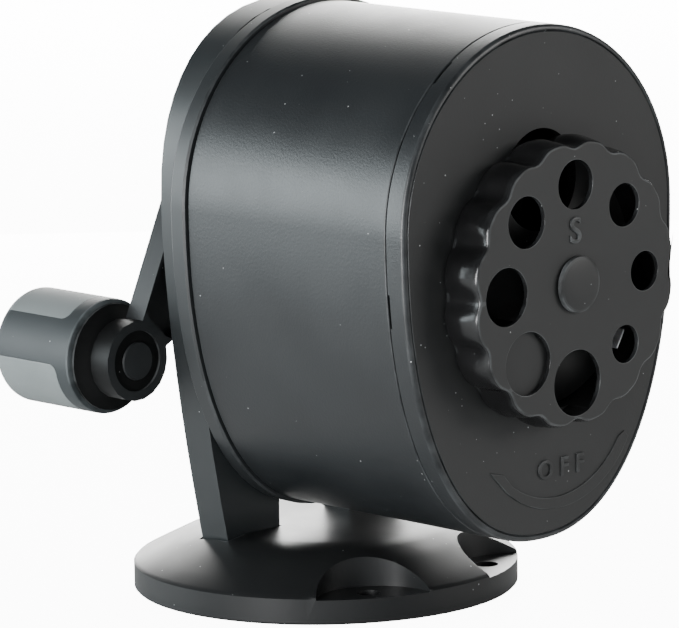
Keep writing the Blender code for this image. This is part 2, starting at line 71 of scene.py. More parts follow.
# Openings for pencils: place on the circle in degrees, and diameter in millimetres
HOLES = ((90, 8.4), (45, 7.4), (0, 6.8), (-45, 6.5),
         (-90, 11.3), (-135, 10.8), (180, 9.9), (135, 8.8))
PAD_ANGLE = -135                   # the opening that a pad of the cap shows through
PIN_BORE = 2.6 * MM

# Rings of the dial's wall, back to front: share of its depth, how far out, depth of the waves
DIAL_RINGS = ((0.10, 0.40 * MM, 0.95), (0.25, 0.62 * MM, 1.2), (0.42, 0.70 * MM, 1.35),
              (0.58, 0.62 * MM, 1.3), (0.72, 0.50 * MM, 1.15), (0.84, 0.40 * MM, 1.0),
              (0.93, 0.30 * MM, 0.9), (1.0, 0.10 * MM, 0.85))

# Knob: three panels let into its skin, the first at GRIP_ANGLE, each GRIP_SPAN degrees wide
GRIP_ANGLE = 99
GRIP_SPAN = 72
GRIP_SINK = 0.55 * MM
KNOB_CORNER = 1.7 * MM
NECK_REACH = 9.6 * MM              # painted shade: the crank lever is darker this near to the knob's axis

# Parts of the cap, as shares of the way from its middle to its outline
BAND_SHARE = 0.962
WELL_SHARE = 0.94

# Worn edges: narrow faces across a bend, in radians
WORN_BEND = 0.12
FULL_WORN_BEND = 0.5
WORN_WIDTH = 0.4 * MM


# ---------------------------------------------------------------- modelling helpers

def deselect():
    if bpy.context.object and bpy.context.object.mode != 'OBJECT':
        bpy.ops.object.mode_set(mode='OBJECT')
    bpy.ops.object.select_all(action='DESELECT')


def activate(obj):
    deselect()
    obj.select_set(True)
    bpy.context.view_layer.objects.active = obj


def edit(obj, kind='FACE'):
    activate(obj)
    bpy.ops.object.mode_set(mode='EDIT')
    bpy.ops.mesh.select_mode(type=kind)


def done():
    bpy.ops.object.mode_set(mode='OBJECT')


def choose(kind, test):
    """Selects faces, edges or vertices of the mesh in edit mode for which test(element) holds."""
    mesh = bpy.context.object.data
    bpy.ops.mesh.select_all(action='DESELECT')
    bm = bmesh.from_edit_mesh(mesh)
    items = {'FACE': bm.faces, 'EDGE': bm.edges, 'VERT': bm.verts}[kind]
    for item in items:
        if test(item):
            item.select = True
    bm.select_flush_mode()
    bmesh.update_edit_mesh(mesh)


def at_y(y, slack=0.02 * MM):
    return lambda item: all(abs(v.co.y - y) < slack for v in item.verts)


def outline(name, points, y):
    """A flat face in a plane of constant y, started as a circle and shaped by (x, z) points."""
    deselect()
    bpy.ops.mesh.primitive_circle_add(vertices=len(points), radius=0.03, fill_type='NGON')
    obj = bpy.context.object
    obj.name = name
    obj.data.name = name
    for vertex, (x, z) in zip(obj.data.vertices, points):
        vertex.co = (x, y, z)
    return obj


def extrude(obj, depth):
    edit(obj)
    bpy.ops.mesh.select_all(action='SELECT')
    bpy.ops.mesh.extrude_region_move(TRANSFORM_OT_translate={"value": (0, depth, 0)})
    bpy.ops.mesh.select_all(action='SELECT')
    bpy.ops.mesh.normals_make_consistent(inside=False)
    done()
    return obj


def round_edges(obj, test, width, segments=3):
    edit(obj, 'EDGE')
    choose('EDGE', test)
    bpy.ops.mesh.bevel(offset=width, segments=segments, affect='EDGES', profile=0.5)
    done()
    return obj


def turned(name, profile, centre=(0.0, 0.0), steps=64):
    """A body turned about a line along Y, from (radius, y) pairs that form a ring or end on it."""
    obj = outline(name, [(centre[0] + r, centre[1]) for r, _ in profile], 0.0)
    for vertex, (_, y) in zip(obj.data.vertices, profile):
        vertex.co.y = y
    edit(obj, 'EDGE')
    bpy.ops.mesh.select_all(action='SELECT')
    bpy.ops.mesh.delete(type='ONLY_FACE')
    if profile[0][0] == 0.0:
        choose('EDGE', lambda e: all(abs(v.co.x - centre[0]) < 1e-6 for v in e.verts))
        bpy.ops.mesh.delete(type='EDGE')
    bpy.ops.mesh.select_all(action='SELECT')
    bpy.ops.mesh.spin(steps=steps, angle=2 * math.pi, center=(centre[0], 0, centre[1]),
                      axis=(0, 1, 0))
    bpy.ops.mesh.select_all(action='SELECT')
    bpy.ops.mesh.remove_doubles(threshold=0.002 * MM)
    bpy.ops.mesh.normals_make_consistent(inside=False)
    done()
    return obj


def boolean(obj, other, operation='DIFFERENCE'):
    activate(obj)
    mod = obj.modifiers.new("shape", 'BOOLEAN')
    mod.operation = operation
    mod.solver = 'EXACT'
    mod.object = other
    bpy.ops.object.modifier_apply(modifier=mod.name)
    bpy.data.objects.remove(other, do_unlink=True)
    return obj


def drill(obj, radius, y0, y1, centre, steps=48):
    turns = [2 * math.pi * k / steps for k in range(steps)]
    pin = outline("drill", [(centre[0] + radius * math.cos(a), centre[1] + radius * math.sin(a))
                            for a in turns], y0)
    return boolean(obj, extrude(pin, y1 - y0))


def mark_wear(obj):
    """Marks the narrow faces along convex edges, which handling rubs first."""
    bm = bmesh.new()
    bm.from_mesh(obj.data)
    values = []
    for face in bm.faces:
        width = 2 * face.calc_area() / face.calc_perimeter()
        bend = max((e.calc_face_angle_signed(0.0) for e in face.edges), default=0.0)
        worn = bend > WORN_BEND and width < WORN_WIDTH
        values.append(min(1.0, bend / FULL_WORN_BEND) if worn else 0.0)
    bm.free()
    layer = obj.data.attributes.new("wear", 'FLOAT', 'FACE')
    layer.data.foreach_set("value", values)


def bevel_all(obj, width, segments=2, angle=35):
    activate(obj)
    mod = obj.modifiers.new("edges", 'BEVEL')
    mod.width = width
    mod.segments = segments
    mod.limit_method = 'ANGLE'
    mod.angle_limit = math.radians(angle)
    mod.miter_outer = 'MITER_ARC'
    bpy.ops.object.modifier_apply(modifier=mod.name)
    return obj


def paint(obj, mat, test):
    """Gives the faces for which test(face) holds a second material."""
    obj.data.materials.append(mat)
    index = len(obj.data.materials) - 1
    for face in obj.data.polygons:
        if test(face):
            face.material_index = index


def finish_piece(obj, body, mat, *nodes, slot=None, angle=30):
    """Smooths a piece, gives it its material and hangs it on its body."""
    activate(obj)
    bpy.ops.object.transform_apply(location=True, rotation=True, scale=True)
    bpy.ops.object.shade_smooth_by_angle(angle=math.radians(angle))
    mod = obj.modifiers.new("normals", 'WEIGHTED_NORMAL')
    mod.keep_sharp = True
    bpy.ops.object.modifier_apply(modifier=mod.name)
    mark_wear(obj)
    obj.data.materials.clear()
    obj.data.materials.append(mat)
    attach(obj, body)
    if nodes:
        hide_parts(*nodes)
    deselect()
    return obj


def copy_node(node, name):
    """A merged copy of a CAD node, with flat areas joined into single faces."""
    mesh = NODES[node].data.copy()
    mesh.name = name
    obj = bpy.data.objects.new(name, mesh)
    bpy.context.collection.objects.link(obj)
    edit(obj, 'VERT')
    bpy.ops.mesh.select_all(action='SELECT')
    bpy.ops.mesh.remove_doubles(threshold=0.004 * MM)
    bpy.ops.mesh.dissolve_limited(angle_limit=math.radians(0.6))
    bpy.ops.mesh.normals_make_consistent(inside=False)
    done()
    return obj


def arc(radius, start, end, steps, centre=(0.0, 0.0)):
    """Points on an arc, in degrees from +X towards +Z."""
    turns = [math.radians(start + (end - start) * k / steps) for k in range(steps + 1)]
    return [(centre[0] + radius * math.cos(a), centre[1] + radius * math.sin(a)) for a in turns]


def polar(radius, degrees, centre=(0.0, 0.0)):
    return arc(radius, degrees, degrees, 1, centre)[0]


def egg(node, grow=0.0):
    """The egg outline of a CAD node, grown outwards; wider at the top, squarer below."""
    low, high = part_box(node)
    half, top, bottom = high[0], high[2] - EGG_MID, EGG_MID - low[2]
    points = []
    for k in range(EGG_POINTS):
        a = 2 * math.pi * k / EGG_POINTS
        c, s = math.cos(a), math.sin(a)
        power = 1.0 if s >= 0 else 2 / EGG_POWER
        x = half * math.copysign(abs(c) ** power, c)
        z = top * s if s >= 0 else -bottom * abs(s) ** power
        points.append((x, EGG_MID + z))
    grown = []
    for k, (x, z) in enumerate(points):
        ax, az = points[k - 1]
        bx, bz = points[(k + 1) % EGG_POINTS]
        length = math.hypot(bx - ax, bz - az)
        grown.append((x + grow * (bz - az) / length, z - grow * (bx - ax) / length))
    return grown


def egg_share(node, x, z):
    """How far out a place lies in a CAD node's egg: 0 on the middle, 1 on the outline."""
    low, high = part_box(node)
    rise = z - EGG_MID
    if rise >= 0:
        return math.hypot(x / high[0], rise / (high[2] - EGG_MID))
    wide, deep = abs(x / high[0]), abs(rise / (EGG_MID - low[2]))
    return (wide ** EGG_POWER + deep ** EGG_POWER) ** (1 / EGG_POWER)


# ---------------------------------------------------------------- node groups

def group(name, inputs, outputs):
    tree = bpy.data.node_groups.new(name, 'ShaderNodeTree')
    for label, kind, value in inputs:
        socket = tree.interface.new_socket(name=label, in_out='INPUT', socket_type=kind)
        if value is not None:
            socket.default_value = value
    for label, kind in outputs:
        tree.interface.new_socket(name=label, in_out='OUTPUT', socket_type=kind)
    return tree, tree.nodes.new('NodeGroupInput'), tree.nodes.new('NodeGroupOutput')


def math_node(tree, operation, a, b=None, clamp=False):
    node = tree.nodes.new('ShaderNodeMath')
    node.operation = operation
    node.use_clamp = clamp
    for socket, value in ((node.inputs[0], a), (node.inputs[1], b)):
        if value is None:
            continue
        if isinstance(value, (int, float)):
            socket.default_value = value
        else:
            tree.links.new(value, socket)
    return node.outputs[0]


def spread(tree, value, low, high, to_low=0.0, to_high=1.0):
    node = tree.nodes.new('ShaderNodeMapRange')
    tree.links.new(value, node.inputs['Value'])
    ends = {'From Min': low, 'From Max': high, 'To Min': to_low, 'To Max': to_high}
    for label, number in ends.items():
        node.inputs[label].default_value = number
    return node.outputs['Result']


def texture(tree, kind, vector, scale, **settings):
    node = tree.nodes.new(kind)
    tree.links.new(vector, node.inputs['Vector'])
    if isinstance(scale, (int, float)):
        node.inputs['Scale'].default_value = scale
    else:
        tree.links.new(scale, node.inputs['Scale'])
    for label, value in settings.items():
        node.inputs[label.replace('_', ' ')].default_value = value
    return node


def moulded_grain():
    """Fine spark-eroded texture of a moulding: a height and a slow mottle."""
    tree, inside, outside = group("Moulded grain", [("Vector", 'NodeSocketVector', None),
                                                    ("Grain", 'NodeSocketFloat', 2600.0),
                                                    ("Mottle", 'NodeSocketFloat', 55.0)],
                                  [("Height", 'NodeSocketFloat'), ("Mottle", 'NodeSocketFloat')])
    vector = inside.outputs["Vector"]
    grain, mottle = inside.outputs["Grain"], inside.outputs["Mottle"]
    fine = texture(tree, 'ShaderNodeTexNoise', vector, grain, Detail=3.0, Roughness=0.6)
    pits = texture(tree, 'ShaderNodeTexVoronoi', vector, grain)
    slow = texture(tree, 'ShaderNodeTexNoise', vector, mottle, Detail=4.0, Roughness=0.55)
    pitting = math_node(tree, 'MULTIPLY', pits.outputs[0], 0.35)
    height = math_node(tree, 'ADD', fine.outputs[0], pitting)
    tree.links.new(height, outside.inputs["Height"])
    tree.links.new(slow.outputs[0], outside.inputs["Mottle"])
    return tree


def dust_specks():
    """Sparse pale specks of dust and short lint, as a mask."""
    tree, inside, outside = group("Dust specks", [("Vector", 'NodeSocketVector', None),
                                                  ("Scale", 'NodeSocketFloat', 620.0),
                                                  ("Size", 'NodeSocketFloat', 0.10)],
                                  [("Mask", 'NodeSocketFloat')])
    vector = inside.outputs["Vector"]
    cells = texture(tree, 'ShaderNodeTexVoronoi', vector, inside.outputs["Scale"])
    field = texture(tree, 'ShaderNodeTexNoise', vector, 60.0, Detail=2.0)
    size = math_node(tree, 'MULTIPLY', inside.outputs["Size"],
                     spread(tree, field.outputs[0], 0.3, 0.6, 0.4, 1.0))
    close = math_node(tree, 'SUBTRACT', size, cells.outputs["Distance"])
    rare = spread(tree, cells.outputs["Color"], 0.74, 0.77)
    crisp = math_node(tree, 'MULTIPLY', close, 40.0, clamp=True)
    mask = math_node(tree, 'MULTIPLY', crisp, rare)
    tree.links.new(mask, outside.inputs["Mask"])
    return tree


def edge_rub():
    """Where convex edges are rubbed, broken up by noise."""
    tree, inside, outside = group("Edge rub", [("Vector", 'NodeSocketVector', None),
                                               ("Amount", 'NodeSocketFloat', 0.5)],
                                  [("Mask", 'NodeSocketFloat')])
    wear = tree.nodes.new('ShaderNodeAttribute')
    wear.attribute_name = "wear"
    edge = wear.outputs["Fac"]
    noise = texture(tree, 'ShaderNodeTexNoise', inside.outputs["Vector"], 240.0, Detail=3.0)
    patchy = math_node(tree, 'MULTIPLY', edge, spread(tree, noise.outputs[0], 0.35, 0.65))
    mask = math_node(tree, 'MULTIPLY', patchy, inside.outputs["Amount"], clamp=True)
    tree.links.new(mask, outside.inputs["Mask"])
    return tree


GRAIN = moulded_grain()
DUST = dust_specks()
RUB = edge_rub()


def use_group(tree, source, vector, **values):
    node = tree.nodes.new('ShaderNodeGroup')
    node.node_tree = source
    tree.links.new(vector, node.inputs["Vector"])
    for label, value in values.items():
        node.inputs[label].default_value = value
    return node


def blend_colour(tree, factor, low, high):
    node = tree.nodes.new('ShaderNodeMix')
    node.data_type = 'RGBA'
    tree.links.new(factor, node.inputs[0])
    for socket, value in ((node.inputs[6], low), (node.inputs[7], high)):
        if isinstance(value, tuple):
            socket.default_value = (*value, 1.0)
        else:
            tree.links.new(value, socket)
    return node.outputs[2]


def new_material(name):
    """A material, with its node tree, its shader and the object's own coordinates."""
    mat = bpy.data.materials.new(name)
    mat.use_nodes = True
    tree = mat.node_tree
    vector = tree.nodes.new('ShaderNodeTexCoord').outputs["Object"]
    return mat, tree, tree.nodes["Principled BSDF"], vector


def add_bump(tree, shader, height, strength, depth):
    node = tree.nodes.new('ShaderNodeBump')
    node.inputs["Strength"].default_value = strength
    node.inputs["Distance"].default_value = depth
    tree.links.new(height, node.inputs["Height"])
    tree.links.new(node.outputs["Normal"], shader.inputs["Normal"])


def plastic(name, dark, light, rough, grain=2600.0, bump=0.04, rub=0.35, dust=0.09, specular=0.5,
            rub_colour=(0.16, 0.17, 0.175)):
    """Moulded plastic: mottled colour, fine grain in the gloss, rubbed edges and dust."""
    mat, tree, shader, vector = new_material(name)
    shader.inputs["Specular IOR Level"].default_value = specular
    surface = use_group(tree, GRAIN, vector, Grain=grain)
    edges = use_group(tree, RUB, vector, Amount=rub)
    specks = use_group(tree, DUST, vector, Size=dust)
    mottle, dusty = surface.outputs["Mottle"], specks.outputs["Mask"]
    base = blend_colour(tree, spread(tree, mottle, 0.35, 0.65), dark, light)
    rubbed = blend_colour(tree, edges.outputs["Mask"], base, rub_colour)
    tree.links.new(blend_colour(tree, dusty, rubbed, DUST_COLOUR), shader.inputs["Base Color"])
    gloss = spread(tree, mottle, 0.3, 0.7, rough - 0.04, rough + 0.05)
    gloss = math_node(tree, 'ADD', gloss, math_node(tree, 'MULTIPLY', dusty, 0.3), clamp=True)
    tree.links.new(gloss, shader.inputs["Roughness"])
    add_bump(tree, shader, surface.outputs["Height"], bump, 0.05 * MM)
    return mat


def metal(name, dark, light, rough, scale=(900.0, 60.0, 900.0), bump=0.15):
    """Worked metal: fine tool lines along one way, a slow stain and brighter edges."""
    mat, tree, shader, vector = new_material(name)
    shader.inputs["Metallic"].default_value = 1.0
    stretch = tree.nodes.new('ShaderNodeMapping')
    stretch.inputs["Scale"].default_value = scale
    tree.links.new(vector, stretch.inputs["Vector"])
    lines = texture(tree, 'ShaderNodeTexNoise', stretch.outputs[0], 1.0, Detail=3.0).outputs[0]
    stain = texture(tree, 'ShaderNodeTexNoise', vector, 120.0, Detail=4.0).outputs[0]
    edges = use_group(tree, RUB, vector, Amount=0.3)
    colour = blend_colour(tree, spread(tree, stain, 0.35, 0.65), dark, light)
    colour = blend_colour(tree, edges.outputs["Mask"], colour, BARE_METAL)
    tree.links.new(colour, shader.inputs["Base Color"])
    gloss = spread(tree, lines, 0.3, 0.7, rough - 0.08, rough + 0.1)
    tree.links.new(gloss, shader.inputs["Roughness"])
    add_bump(tree, shader, lines, bump, 0.02 * MM)
    return mat


DUST_COLOUR = (0.42, 0.43, 0.43)
BARE_METAL = (0.85, 0.85, 0.84)

FOOT = plastic("Foot black", (0.008, 0.0085, 0.0088), (0.0105, 0.011, 0.0113), 0.42, bump=0.12,
               specular=0.35)
STAND = plastic("Stand slate", (0.013, 0.0155, 0.0165), (0.0165, 0.019, 0.020), 0.42, bump=0.10,
                rub=0.25)
COLLAR = plastic("Collar slate", (0.013, 0.015, 0.016), (0.016, 0.018, 0.019), 0.42)
DRUM = plastic("Drum satin", (0.0085, 0.0098, 0.0108), (0.0105, 0.012, 0.013), 0.37,
               grain=2300.0, bump=0.45, rub=0.2)
FACE = plastic("Cap charcoal", (0.0135, 0.014, 0.014), (0.016, 0.0165, 0.0165), 0.56,
               grain=3000.0, bump=0.25, rub=0.25)
DIAL_MAT = plastic("Dial charcoal", (0.0125, 0.013, 0.013), (0.0148, 0.0153, 0.0153), 0.50,
                   grain=3000.0, bump=0.18, rub=0.5)
# Near-black gloss: the dial's own glossy wall, and painted shade on the walls of bores and holes
GLOSS_AND_SHADE = plastic("Gloss black and painted shade", (0.0055, 0.0055, 0.0057), (0.0085, 0.0085, 0.0088), 0.21,
               grain=900.0, bump=0.35, rub=0.12)
ARM = plastic("Crank black", (0.013, 0.0145, 0.0155), (0.016, 0.0175, 0.0185), 0.44)
# Painted shade: a much darker black for the crank's neck under the knob, where shade falls
NECK_SHADE = plastic("Neck painted shade", (0.0035, 0.0037, 0.0038), (0.005, 0.0052, 0.0053), 0.50,
               specular=0.2)
KNOB = plastic("Knob slate", (0.019, 0.024, 0.026), (0.024, 0.029, 0.031), 0.56, bump=0.14,
               rub=0.2, rub_colour=(0.3, 0.33, 0.34))
GRIP = plastic("Grip grey", (0.15, 0.17, 0.17), (0.18, 0.20, 0.20), 0.62, grain=2200.0,
               bump=0.22, rub=0.15, rub_colour=(0.6, 0.62, 0.62))
STEEL = metal("Turned steel", (0.44, 0.44, 0.45), (0.58, 0.58, 0.59), 0.30)
CUTTER_STEEL = metal("Hardened steel", (0.30, 0.30, 0.31), (0.45, 0.45, 0.46), 0.28,
                     scale=(700, 700, 700))
ZINC = metal("Cast zinc", (0.34, 0.34, 0.35), (0.46, 0.46, 0.47), 0.48, scale=(500, 500, 500),
             bump=0.35)
LEAF = metal("Spring leaf", (0.72, 0.72, 0.72), (0.86, 0.86, 0.86), 0.55)
BRASS = metal("Bearing brass", (0.50, 0.36, 0.15), (0.64, 0.48, 0.22), 0.34)


# ---------------------------------------------------------------- pieces

def cap_front():
    """Where the cap's face lies: just behind the dial."""
    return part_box("dial")[1][1] + GAP


def drum_piece():
    low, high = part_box("drum")
    depth = low[1] - high[1]
    wall, past = 1.6 * MM, 2 * MM
    shell = extrude(outline("drum_shell", egg("drum"), high[1]), depth)
    inner = extrude(outline("inside", egg("drum", -wall), high[1] + past), depth - 2 * past)
    boolean(shell, inner)
    bevel_all(shell, 0.25 * MM, 3, 50)
    return finish_piece(shell, "receptacle", DRUM, "drum", slot="satin_plastic")


def rim_line(cap, front):
    """Presses a fine line into the cap's face, just inside its edge, and rounds the edge."""
    groove = 0.3 * MM
    edit(cap)
    choose('FACE', at_y(front))
    bpy.ops.mesh.inset(thickness=0.9 * MM, depth=0)
    bpy.ops.mesh.inset(thickness=0.22 * MM, depth=0)
    bpy.ops.transform.translate(value=(0, groove, 0))
    bpy.ops.mesh.inset(thickness=0.18 * MM, depth=0)
    bpy.ops.transform.translate(value=(0, -groove, 0))
    done()
    rim = {(round(x, 5), round(z, 5)) for x, z in egg("front_cap")}
    flat = at_y(front, 0.01 * MM)
    round_edges(cap, lambda e: flat(e) and all((round(v.co.x, 5), round(v.co.z, 5)) in rim
                                               for v in e.verts), 0.75 * MM, 4)


def cap_openings(cap, back, front):
    """Cuts the main bore, the pin's bore and the keyhole through the cap's face."""
    through = (back + 1 * MM, front - 1 * MM)
    drill(cap, 8.8 * MM, *through, (0.0, AXIS_Z), 96)
    drill(cap, PIN_BORE, *through, (0.0, DIAL_Z))
    key, half, foot = HOLE_CIRCLE, 1 * MM, DIAL_Z - 4.2 * MM
    drill(cap, 2.6 * MM, *through, (key, DIAL_Z + 0.6 * MM))
    slot = outline("slot", [(key - half, foot), (key + half, foot), (key + half, DIAL_Z),
                            (key - half, DIAL_Z)], through[0])
    boolean(cap, extrude(slot, through[1] - through[0]))


def cap_piece():
    """The drum's front: a hollow cap with a rim band, openings, and a pad behind the dial."""
    back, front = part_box("front_cap")[1][1], cap_front()
    cap = extrude(outline("cap", egg("front_cap"), back), front - back)
    rim_line(cap, front)
    past, face = 2 * MM, 1.8 * MM
    pocket = outline("pocket", egg("front_cap", -1.6 * MM), back + past)
    boolean(cap, extrude(pocket, front + face - back - past))
    centre = (0.0, DIAL_Z)
    half, turn, root = 5 * MM, 18, 1 * MM
    pad_points = (arc(HOLE_CIRCLE + half, PAD_ANGLE - turn, PAD_ANGLE + turn, 16, centre)
                  + arc(HOLE_CIRCLE - half, PAD_ANGLE + turn, PAD_ANGLE - turn, 16, centre))
    pad_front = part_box("dial")[0][1] + DIAL_WEB + GAP
    pad = extrude(outline("pad", pad_points, front + root), pad_front - front - root)
    boolean(cap, pad, 'UNION')
    cap_openings(cap, back, front)
    for low_z, high_z in SEAM_SLOTS:
        outer, inner = [[p for p in egg("front_cap", grow) if p[0] < 0 and low_z < p[1] < high_z]
                        for grow in (0.4 * MM, -0.7 * MM)]
        slit = outline("slit", outer + inner[::-1], back + 1 * MM)
        boolean(cap, extrude(slit, -1 * MM - SLOT_DEPTH))
    finish_piece(cap, "receptacle", FACE, "front_cap", slot="matte_black")

    def share(face):
        return egg_share("front_cap", face.center.x, face.center.z)

    paint(cap, DRUM, lambda f: share(f) > BAND_SHARE)
    # Painted shade: the side walls of the openings and pad inside the band get the near-black
    # gloss
    paint(cap, GLOSS_AND_SHADE, lambda f: abs(f.normal.y) < 0.6 and share(f) < WELL_SHARE)


def lettering(name, text, size, x, z, y, body, mat, slot, spacing=1.0):
    """Raised letters that face forwards, middle at (x, z)."""
    deselect()
    bpy.ops.object.text_add()
    data = bpy.context.object.data
    data.body = text
    data.size = size
    data.space_character = spacing
    data.align_x = 'CENTER'
    data.align_y = 'CENTER'
    data.extrude = 0.22 * MM
    data.bevel_depth = 0.07 * MM
    data.bevel_resolution = 1
    bpy.context.object.name = name
    bpy.ops.object.convert(target='MESH')
    obj = bpy.context.object
    obj.data.name = name
    obj.rotation_euler = (math.pi / 2, 0, 0)
    obj.location = (x, y, z)
    edit(obj, 'VERT')
    bpy.ops.mesh.select_all(action='SELECT')
    bpy.ops.mesh.remove_doubles(threshold=0.004 * MM)
    done()
    return finish_piece(obj, body, mat, slot=slot)


def arrow_piece():
    """Raised curved arrow under the dial, along the way that the drum twists."""
    front = cap_front()
    root, rise = 0.15 * MM, 0.28 * MM
    points = arc(20.5 * MM, -31, -130, 30, (3.8 * MM, 40.9 * MM))
    points += [(-13.3 * MM, 29.1 * MM), (-9.9 * MM, 28.3 * MM)]
    points += arc(19.1 * MM, -125, -35, 30, (3.2 * MM, 41.6 * MM)) + [(20.3 * MM, 31.4 * MM)]
    band = extrude(outline("lock_arrow", points, front + root), -root - rise)
    round_edges(band, at_y(front - rise), 0.16 * MM, 2)
    return finish_piece(band, "receptacle", FACE, slot="matte_black")


def scallop(grow, depth=1.0, count=DIAL_LOBES * 12):
    """The dial's wavy outline, a little uneven, as (x, z) points."""
    low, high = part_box("dial")
    middle_r = high[0] - 1.25 * MM
    centre = 0.5 * (low[2] + high[2])
    points = []
    for k in range(count):
        a = 2 * math.pi * k / count
        turn = DIAL_LOBES * (a - math.pi / 2)
        uneven = 0.12 * MM * math.sin(3 * a + 1.0) * math.sin(turn / 2 + 0.6)
        wave = DIAL_WAVE * depth * (math.cos(turn) + 0.25 * math.cos(2 * turn))
        r = middle_r + grow - wave + uneven * (depth - 0.9)
        points.append((r * math.cos(a), centre + r * math.sin(a)))
    return points


def dial_piece():
    """The wheel that chooses a pencil size: a thin front on a deep wavy wall."""
    low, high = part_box("dial")
    back, front = high[1], low[1]
    centre = (0, DIAL_Z)
    wheel = outline("selector_dial", scallop(0.1 * MM, 0.7), back)
    for share, grow, depth in DIAL_RINGS:
        edit(wheel)
        last = min(v.co.y for v in bmesh.from_edit_mesh(wheel.data).verts)
        choose('FACE', at_y(last))
        y = back + share * (front - back)
        bpy.ops.mesh.extrude_region_move(TRANSFORM_OT_translate={"value": (0, y - last, 0)})
        done()
        ring = [v for v in wheel.data.vertices if abs(v.co.y - y) < 1e-6]
        for vertex, (x, z) in zip(ring, scallop(grow, depth)):
            vertex.co.x, vertex.co.z = x, z
    edit(wheel)
    bpy.ops.mesh.select_all(action='SELECT')
    bpy.ops.mesh.normals_make_consistent(inside=False)
    done()
    round_edges(wheel, at_y(front), 0.3 * MM, 3)
    past, web_back, hub, inside = 2 * MM, front + DIAL_WEB, 5 * MM, 22 * MM
    boolean(wheel, turned("pocket", [(inside, back + past), (inside, web_back), (hub, web_back),
                                     (hub, back + past)], centre, 96))
    drill(wheel, PIN_BORE, front - past, back + past, centre)
    holes = [(polar(HOLE_CIRCLE, angle, centre), size / 2 * MM) for angle, size in HOLES]
    for place, radius in holes:
        drill(wheel, radius, front - past, back - 3 * MM, place, 64)

    def hole_rim(edge):
        return at_y(front, 0.01 * MM)(edge) and any(
            all(abs(math.hypot(v.co.x - x, v.co.z - z) - radius) < 0.02 * MM for v in edge.verts)
            for (x, z), radius in holes)

    round_edges(wheel, hole_rim, 0.14 * MM, 2)
    finish_piece(wheel, "selector", DIAL_MAT, "dial", slot="gloss_black", angle=40)
    # The dial's side faces get the near-black gloss: its glossy outer wall, and painted shade on
    # the walls of its holes
    paint(wheel, GLOSS_AND_SHADE, lambda face: face.normal.y > -0.6)


def button_piece():
    """Domed head of the pin that the dial turns on, in one with its stem."""
    low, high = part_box("dial_pin")
    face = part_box("dial")[0][1] - 0.25 * MM
    head, stem = 4.85 * MM, 2.3 * MM
    crown = face - low[1]
    dome = [(0.0, low[1])]
    for k in range(1, 9):
        a = math.radians(10 * k)
        dome.append((head * math.sin(a) ** 0.9, low[1] + crown * 0.55 * (1 - math.cos(a))))
    profile = dome + [(head, face - 0.25 * MM), (head, face), (stem, face),
                      (stem, high[1] - 0.4 * MM), (1.9 * MM, high[1]), (0.0, high[1])]
    return finish_piece(turned("dial_button", profile, (0, DIAL_Z)), "receptacle", DIAL_MAT,
                        "dial_pin", slot="gloss_black")


def knob_size():
    """The knob's radius, near end and far end."""
    low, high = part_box("handle_knob")
    return 0.5 * (high[0] - low[0]), low[1], high[1]


def grip_block(name, angle, span, setback, inset=0.0):
    """The part of the knob's skin that one panel fills, with rounded corners at its near end."""
    centre = (KNOB_X, KNOB_Z)
    radius, near_end, end = knob_size()
    start = near_end + setback
    skin = radius + 0.02 * MM - inset * 0.2
    turns = [math.pi / 2 * j / 8 for j in range(7)]
    near = [(skin - KNOB_CORNER + KNOB_CORNER * math.cos(a),
             end - 0.05 * MM - KNOB_CORNER + KNOB_CORNER * math.sin(a)) for a in turns]
    deep = KNOB_CORNER - 0.1 * MM
    far = [(radius - GRIP_SINK - KNOB_CORNER + deep * math.cos(a),
            end - GRIP_SINK - KNOB_CORNER + deep * math.sin(a)) for a in reversed(turns)]
    profile = [(radius - GRIP_SINK - 0.3 * MM, start), (skin, start)] + near + far
    shell = turned(name, profile, centre, 96)
    # the panel's own outline, drawn flat, thickened and then wrapped round the knob
    width = radius * math.radians(span / 2)
    soft, top = 1.6 * MM, end + 2 * MM
    sweep = [math.pi / 2 * j / 8 for j in range(9)]
    bend = [(width - soft + soft * math.sin(a), start + soft - soft * math.cos(a)) for a in sweep]
    flat = [(width, top)] + bend[::-1] + [(-s, y) for s, y in bend] + [(-width, top)]
    wedge = extrude(outline("wedge", flat, 0.0), radius)
    inner, outer = 0.55 * radius, 1.3 * radius
    for vertex in wedge.data.vertices:
        along, thick, y = vertex.co
        reach = outer if thick > 0.5 * radius else inner
        turn = math.radians(angle) + along / radius
        vertex.co = (centre[0] + reach * math.cos(turn), y, centre[1] + reach * math.sin(turn))
    edit(wedge)
    bpy.ops.mesh.select_all(action='SELECT')
    bpy.ops.mesh.quads_convert_to_tris()
    bpy.ops.mesh.normals_make_consistent(inside=False)
    done()
    return boolean(shell, wedge, 'INTERSECT')


def knob_pieces():
    """The knob's core with three seats, and the three panels that fill them."""
    centre = (KNOB_X, KNOB_Z)
    radius, start, end = knob_size()
    corner = [(radius - KNOB_CORNER + KNOB_CORNER * math.cos(a),
               end - KNOB_CORNER + KNOB_CORNER * math.sin(a))
              for a in (math.pi / 2 * k / 8 for k in range(9))]
    profile = [(0.0, start), (radius - 0.45 * MM, start), (radius - 0.12 * MM, start + 0.12 * MM),
               (radius, start + 0.45 * MM)] + corner + [(0.0, end)]
    core = turned("knob_core", profile, centre, 96)
    bore_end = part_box("handle_spindle")[1][1] + 0.4 * MM
    angles = [GRIP_ANGLE + 120 * k for k in range(3)]
    for angle in angles:
        boolean(core, grip_block("seat", angle, GRIP_SPAN + 1.0, 3.1 * MM))
    drill(core, 2.3 * MM, start - 1 * MM, bore_end, centre)
    finish_piece(core, "handle", KNOB, "handle_knob", slot="knob_slate")
    for k, angle in enumerate(angles, 1):
        panel = grip_block(f"grip_panel_{k}", angle, GRIP_SPAN, 3.2 * MM, 0.08 * MM)
        finish_piece(panel, "handle", GRIP, f"grip_{k}", slot="grip_grey")


def smoothed_node(node, name, body, mat, width, slot, angle=35):
    """A CAD node's own shape with softened edges."""
    piece = copy_node(node, name)
    bevel_all(piece, width, 2, angle)
    return finish_piece(piece, body, mat, node, slot=slot)


